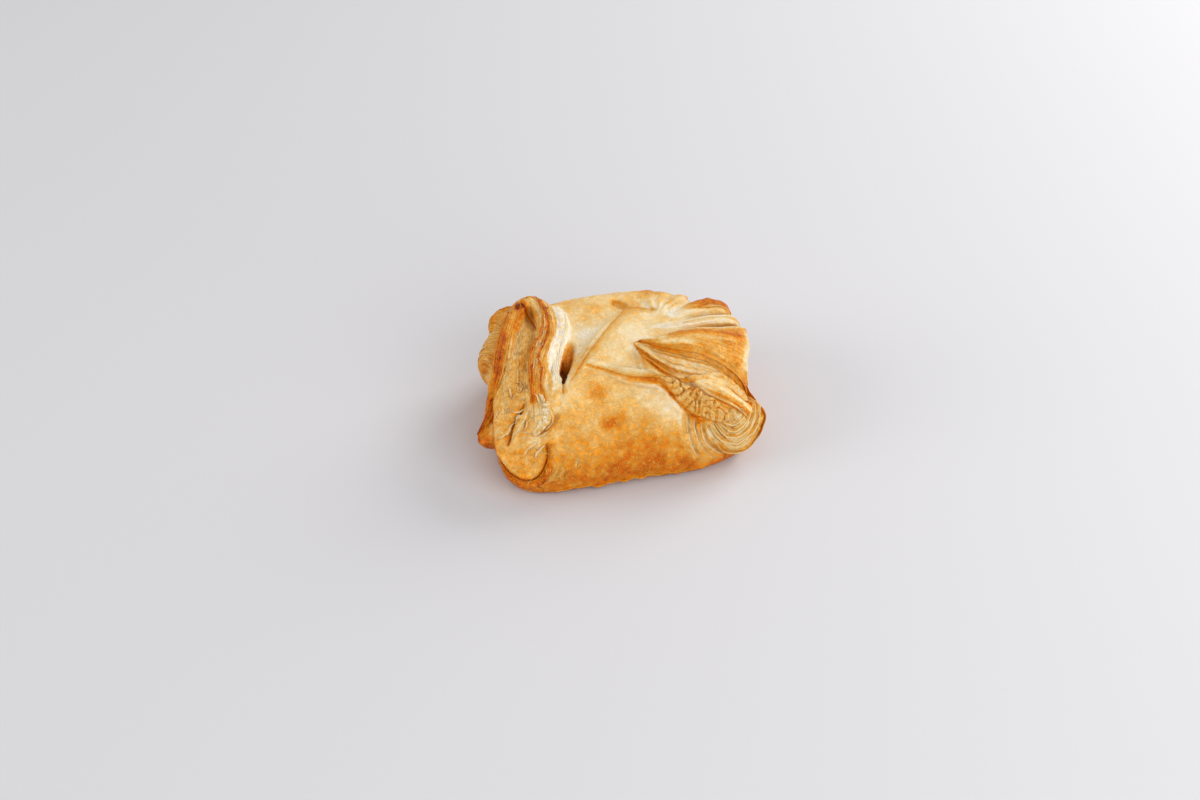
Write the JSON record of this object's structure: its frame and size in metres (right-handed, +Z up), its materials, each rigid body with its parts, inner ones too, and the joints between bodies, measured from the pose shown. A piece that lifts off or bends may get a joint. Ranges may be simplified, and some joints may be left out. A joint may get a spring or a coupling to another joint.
{
  "type": "turnover pastry",
  "caption": "Baked parcel of laminated dough, folded in from both ends over a filling, with a rolled rim, a pointed flap, gathered pleats and a layered curl at its corner.",
  "frame": {"origin": "centre of the bounding box in plan, on the plane the pastry rests on", "axes": "+X along the pastry's length, from its rimmed end to its curled end, +Y from its front to its back, +Z up"},
  "size_m": [0.1034, 0.081, 0.0375],
  "materials": {
    "pastry": "baked golden crust, matt with a slight gloss where it was glazed"
  },
  "bodies": {
    "root": {"pastry": "pastry"}
  },
  "joints": []
}
